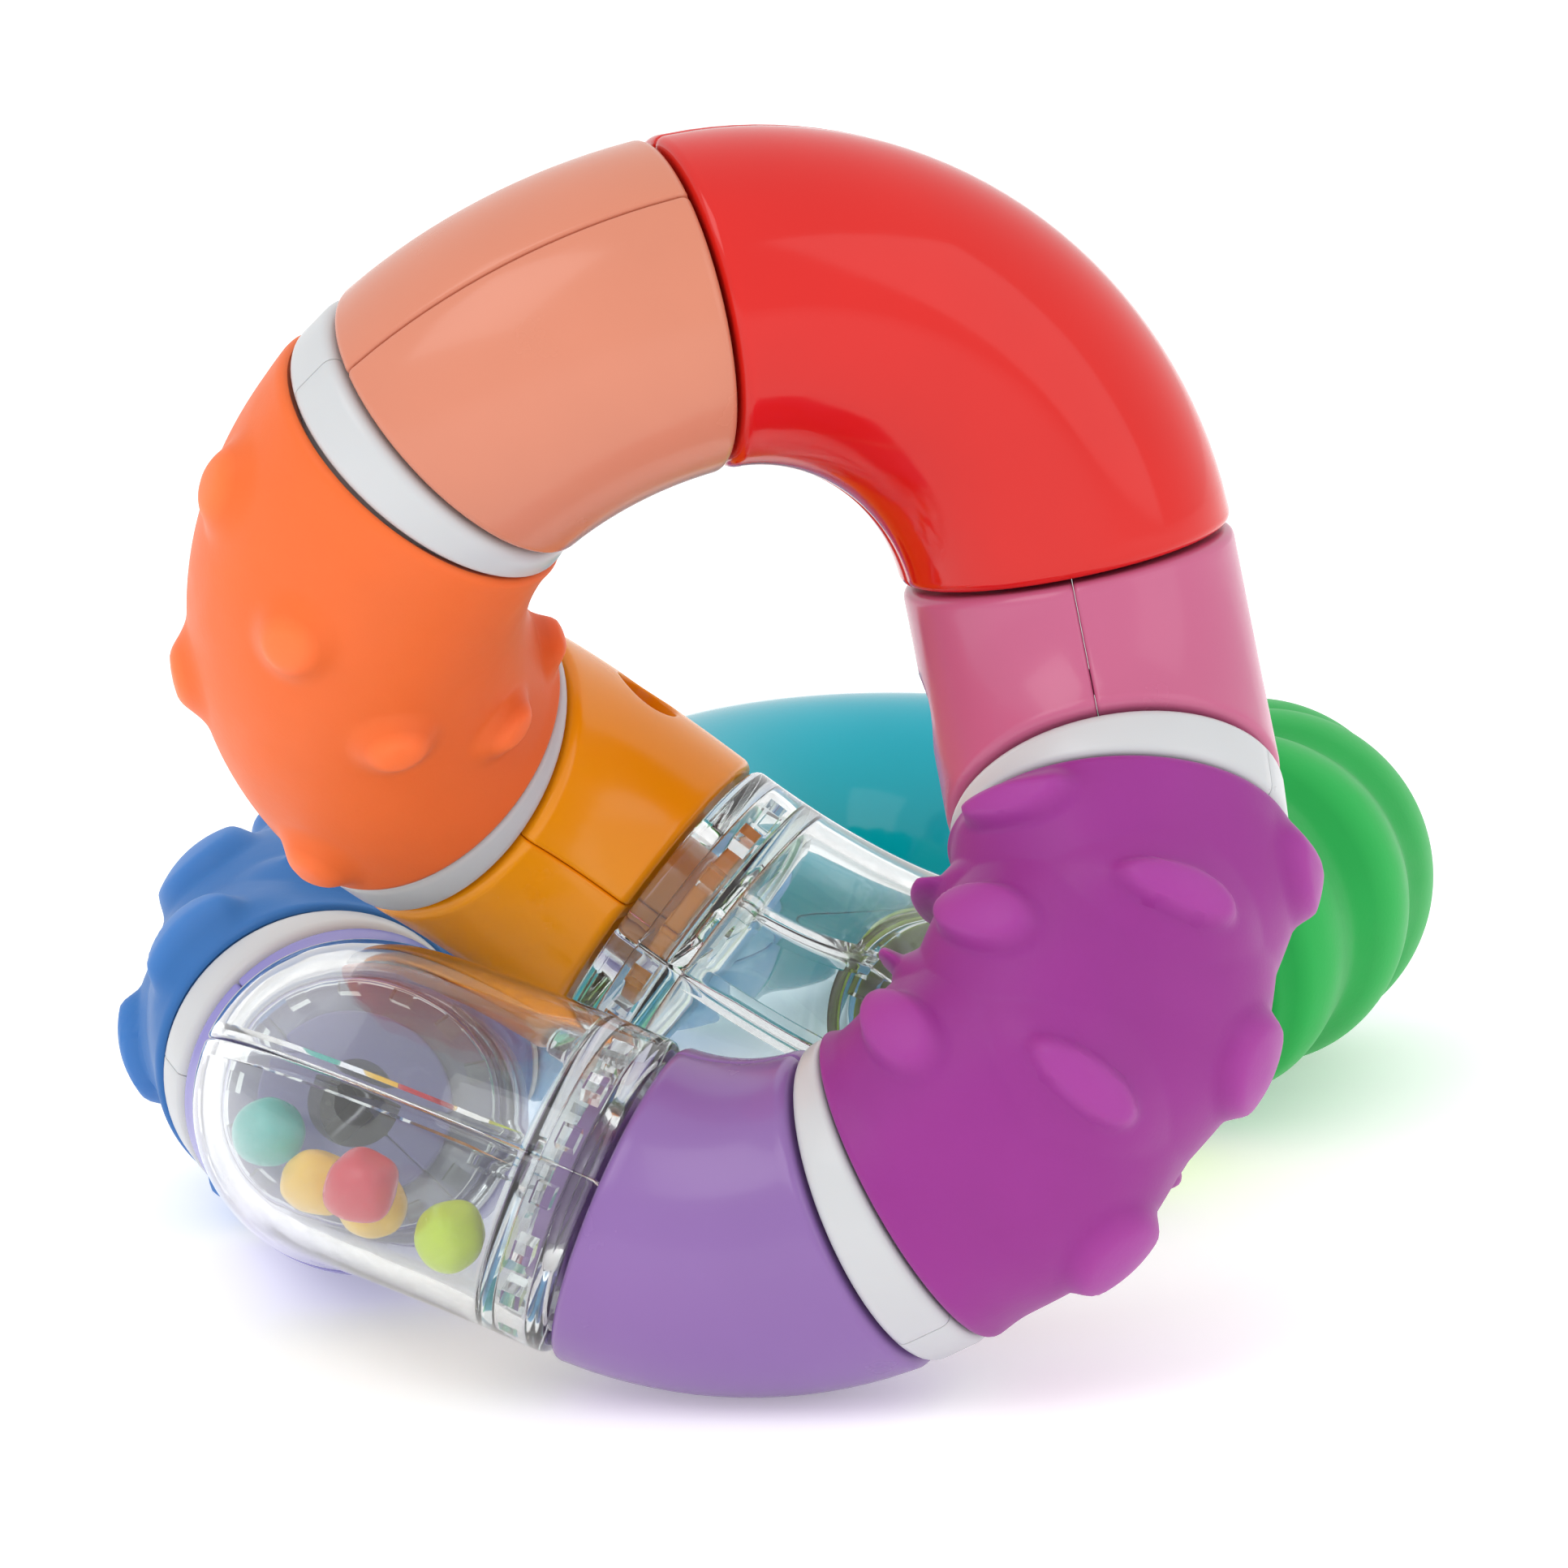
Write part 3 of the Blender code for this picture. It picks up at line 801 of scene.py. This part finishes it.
class Look:
    """A Principled material and the nodes that vary it."""

    def __init__(self, name):
        self.material = bpy.data.materials.new(name)
        self.material.use_nodes = True
        self.nodes = self.material.node_tree.nodes
        self.links = self.material.node_tree.links
        self.shader = self.nodes["Principled BSDF"]
        self.place = self.nodes.new("ShaderNodeTexCoord").outputs["Object"]

    def set(self, **values):
        """Sets the shader's inputs, named with _ for a space."""
        for key, value in values.items():
            self.shader.inputs[key.replace("_", " ")].default_value = value

    def noise(self, scale, detail=2.0, roughness=0.5):
        """Noise over the object's own coordinates, in metres."""
        node = self.nodes.new("ShaderNodeTexNoise")
        node.inputs["Scale"].default_value = scale
        node.inputs["Detail"].default_value = detail
        node.inputs["Roughness"].default_value = roughness
        self.links.new(self.place, node.inputs["Vector"])
        return node.outputs["Fac"]

    def spread(self, source, low, high, start=0.22, end=0.78):
        """The source from start to end, which is about what a noise spans, spread from low to high."""
        node = self.nodes.new("ShaderNodeMapRange")
        for key, value in (("From Min", start), ("From Max", end), ("To Min", low), ("To Max", high)):
            node.inputs[key].default_value = value
        self.links.new(source, node.inputs["Value"])
        return node.outputs["Result"]

    def mix(self, factor, first, second):
        """The first colour where the factor is 0 and the second where it is 1. Either may be a socket."""
        node = self.nodes.new("ShaderNodeMix")
        node.data_type = "RGBA"
        self.links.new(factor, node.inputs["Factor"])
        for socket, value in ((node.inputs[6], first), (node.inputs[7], second)):
            if isinstance(value, bpy.types.NodeSocket):
                self.links.new(value, socket)
            else:
                socket.default_value = value
        return node.outputs[2]

    def mottle(self, scale, detail, first, second):
        """A colour that wanders between two, in patches of this scale."""
        return self.mix(self.spread(self.noise(scale, detail), 0, 1), first, second)

    def bump(self, source, distance, below=None):
        """A normal raised by the source, up to this distance, on top of the normal below."""
        node = self.nodes.new("ShaderNodeBump")
        node.inputs["Distance"].default_value = distance
        self.links.new(source, node.inputs["Height"])
        if below:
            self.links.new(below, node.inputs["Normal"])
        return node.outputs["Normal"]

    def use(self, key, source):
        """Feeds the shader's input from a socket."""
        self.links.new(source, self.shader.inputs[key])


def moulded(name, code, roughness, glow=0.04):
    """Glossy moulded plastic: faint flow marks in its colour, a slightly uneven polish and fine scuffs."""
    look = Look(name)
    colour = linear(code)
    look.use("Base Color", look.mottle(55, 3, scaled(colour, 0.95), scaled(colour, 1.04)))
    look.use("Roughness", look.spread(look.noise(140, 4, 0.6), roughness * 0.8, roughness * 1.35))
    wave = look.bump(look.noise(90, 1), 0.04 * MM)
    look.use("Normal", look.bump(look.noise(1800, 3, 0.6), 0.004 * MM, below=wave))
    look.set(
        IOR=1.5,
        Specular_IOR_Level=0.32,
        Subsurface_Weight=glow,
        Subsurface_Radius=(1.0, 0.6, 0.4),
        Subsurface_Scale=1.2 * MM,
        Coat_Weight=0.12,
        Coat_Roughness=0.08,
    )
    return look.material


def silicone(name, code):
    """Matte food-grade silicone: soft and a little see-through, with a fine grain and a painted highlight
    that lightens its raised parts.
    """
    look = Look(name)
    colour = linear(code)
    body = look.mottle(70, 3, scaled(colour, 0.93), scaled(colour, 1.06))
    # A painted highlight: the raised parts, by their rise, are mixed towards a lighter colour
    rise = look.nodes.new("ShaderNodeAttribute")
    rise.attribute_name = "rise"
    painted_highlight = look.spread(rise.outputs["Fac"], 0, 1, 0.45, 0.95)
    look.use("Base Color", look.mix(painted_highlight, body, scaled(colour, 1.18, 0.012)))
    look.use("Roughness", look.spread(look.noise(260, 3), 0.42, 0.55))
    soft = look.bump(look.noise(160, 2), 0.05 * MM)
    look.use("Normal", look.bump(look.noise(2600, 2, 0.6), 0.012 * MM, below=soft))
    look.set(
        IOR=1.41,
        Subsurface_Weight=0.2,
        Subsurface_Radius=(1.0, 0.5, 0.35),
        Subsurface_Scale=1.5 * MM,
        Specular_IOR_Level=0.35,
        Sheen_Weight=0.06,
        Sheen_Roughness=0.5,
    )
    return look.material


def clear_plastic():
    """Clear moulded plastic with a faint flow wave in its surface."""
    look = Look("clear_plastic")
    look.use("Base Color", look.mottle(40, 2, linear("F4F8F8"), linear("FCFEFE")))
    look.use("Roughness", look.spread(look.noise(220, 3), 0.0, 0.03))
    look.use("Normal", look.bump(look.noise(75, 2), 0.05 * MM))
    look.set(IOR=1.22, Transmission_Weight=0.98, Coat_Weight=0.6, Coat_Roughness=0.03)
    return look.material


def screw_steel():
    """Zinc-plated steel with turning marks."""
    look = Look("screw_steel")
    look.use("Base Color", look.mottle(400, 3, linear("A9ABAE"), linear("C9CBCE")))
    look.use("Roughness", look.spread(look.noise(900, 3), 0.24, 0.4))
    look.use("Normal", look.bump(look.noise(2200, 2), 0.01 * MM))
    look.set(Metallic=1.0)
    return look.material


def floor_card():
    """A pale matte light table, whose glow softens the shadows."""
    look = Look("pale_card")
    look.use("Base Color", look.mottle(1200, 2, linear("FBFBFB"), linear("FDFDFD")))
    look.set(Roughness=0.9, Specular_IOR_Level=0.1, Emission_Color=WHITE, Emission_Strength=0.28)
    return look.material


# ---------------------------------------------------------------- the object


def finish_piece(piece, node, material, body):
    """Gives a piece its material and its body, and hides the CAD node that it stands for."""
    piece.data.materials.clear()
    piece.data.materials.append(material)
    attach(piece, body)
    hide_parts(node)


def make_links():
    """All the pieces of the sixteen links, riding on their links' bodies."""
    steel = screw_steel()
    clear = clear_plastic()
    white = moulded("white_core", WHITE_CORE, 0.3, 0.1)
    fields = {
        "orange": (bump_field(ORANGE_BUMPS, ORANGE_LENGTH, dome), ORANGE_HEIGHT, ORANGE_SINK),
        "blue": (bump_field(BLUE_BUMPS, DROP_LENGTH, drop), DROP_HEIGHT, DROP_SINK),
        "purple": (bump_field(PURPLE_BUMPS, DROP_LENGTH, drop), DROP_HEIGHT, DROP_SINK),
        "green": (rib_height, RIB_HEIGHT, RIB_SINK),
    }
    for name, kind, code in LINKS:
        if kind == "clip":
            pieces = make_clip(name, moulded(f"{name}_plastic", code, 0.22), steel)
        elif kind == "soft":
            field, height, sink = fields[name]
            pieces = make_soft(name, silicone(f"{name}_silicone", code), white, field, height, sink)
        elif kind == "clear":
            pieces = make_shells(name, True, clear, "clear_plastic")
        else:
            pieces = make_shells(name, False, moulded(f"{name}_plastic", code, 0.1), f"{name}_plastic")
        for piece, node, material, slot in pieces:
            finish_piece(piece, node, material, f"{name}_link")


def make_beads():
    """The loose beads, which ride together inside the second clear link."""
    for number, (node, along, around, slot, code) in enumerate(BEADS):
        bead = make_bead(f"{node}_round", along, around, number)
        finish_piece(bead, node, moulded(f"{node}_plastic", code, 0.25), "rattle_beads")


# ---------------------------------------------------------------- floor, light and camera

FLOOR_SIZE = 12


def make_floor():
    """A wide floor under the lowest links."""
    bpy.ops.mesh.primitive_grid_add(x_subdivisions=8, y_subdivisions=8, size=FLOOR_SIZE)
    floor = bpy.context.object
    floor.name = "pale_floor"
    floor.location.z = min(cad_low.z, 0)
    floor.data.materials.append(floor_card())


def add_softbox(name, way, width, height, power):
    """A rectangular light of this size in metres, this way from the object's middle and facing it."""
    light = bpy.data.lights.new(name, "AREA")
    light.shape = "RECTANGLE"
    light.size = width
    light.size_y = height
    light.energy = power
    lamp = add_object(name, light)
    lamp.location = (cad_low + cad_high) / 2 + way
    lamp.rotation_euler = (-way).to_track_quat("-Z", "Y").to_euler()


def make_light():
    """Even white surroundings with a soft key and fill, shown without a film look."""
    world = bpy.data.worlds.new("studio")
    world.use_nodes = True
    backdrop = world.node_tree.nodes["Background"]
    backdrop.inputs["Color"].default_value = WHITE
    backdrop.inputs["Strength"].default_value = 1.0
    bpy.context.scene.world = world
    add_softbox("key", Vector((-0.45, -0.55, 0.75)), width=0.6, height=0.6, power=2.4)
    add_softbox("fill", Vector((0.8, -0.5, 0.4)), width=0.6, height=0.8, power=1.2)
    bpy.context.scene.view_settings.view_transform = "Standard"


# The camera's direction and roll in degrees, its distance, where it looks from the middle of the CAD box, and
# its lens and sensor in millimetres
CAMERA_AZIMUTH = -1.28
CAMERA_ELEVATION = 12.88
CAMERA_ROLL = -3.24
CAMERA_DISTANCE = 960.0 * MM
CAMERA_AIM = Vector((0.0, -3.2, -13.8)) * MM
CAMERA_LENS = 252.8
CAMERA_SENSOR = 36


def make_camera():
    """The camera that the main picture is taken from."""
    azimuth, elevation = math.radians(CAMERA_AZIMUTH), math.radians(CAMERA_ELEVATION)
    forward = Vector((
        math.sin(azimuth) * math.cos(elevation),
        math.cos(azimuth) * math.cos(elevation),
        -math.sin(elevation),
    ))
    camera = add_object("camera", bpy.data.cameras.new("camera"))
    camera.data.lens = CAMERA_LENS
    camera.data.sensor_width = CAMERA_SENSOR
    camera.data.clip_start = 0.01
    aim = (cad_low + cad_high) / 2 + CAMERA_AIM
    turn = forward.to_track_quat("-Z", "Y").to_matrix().to_4x4()
    roll = Matrix.Rotation(math.radians(CAMERA_ROLL), 4, "Z")
    camera.matrix_world = Matrix.Translation(aim - forward * CAMERA_DISTANCE) @ turn @ roll
    bpy.context.scene.camera = camera


make_links()
make_beads()
make_floor()
make_light()
make_camera()
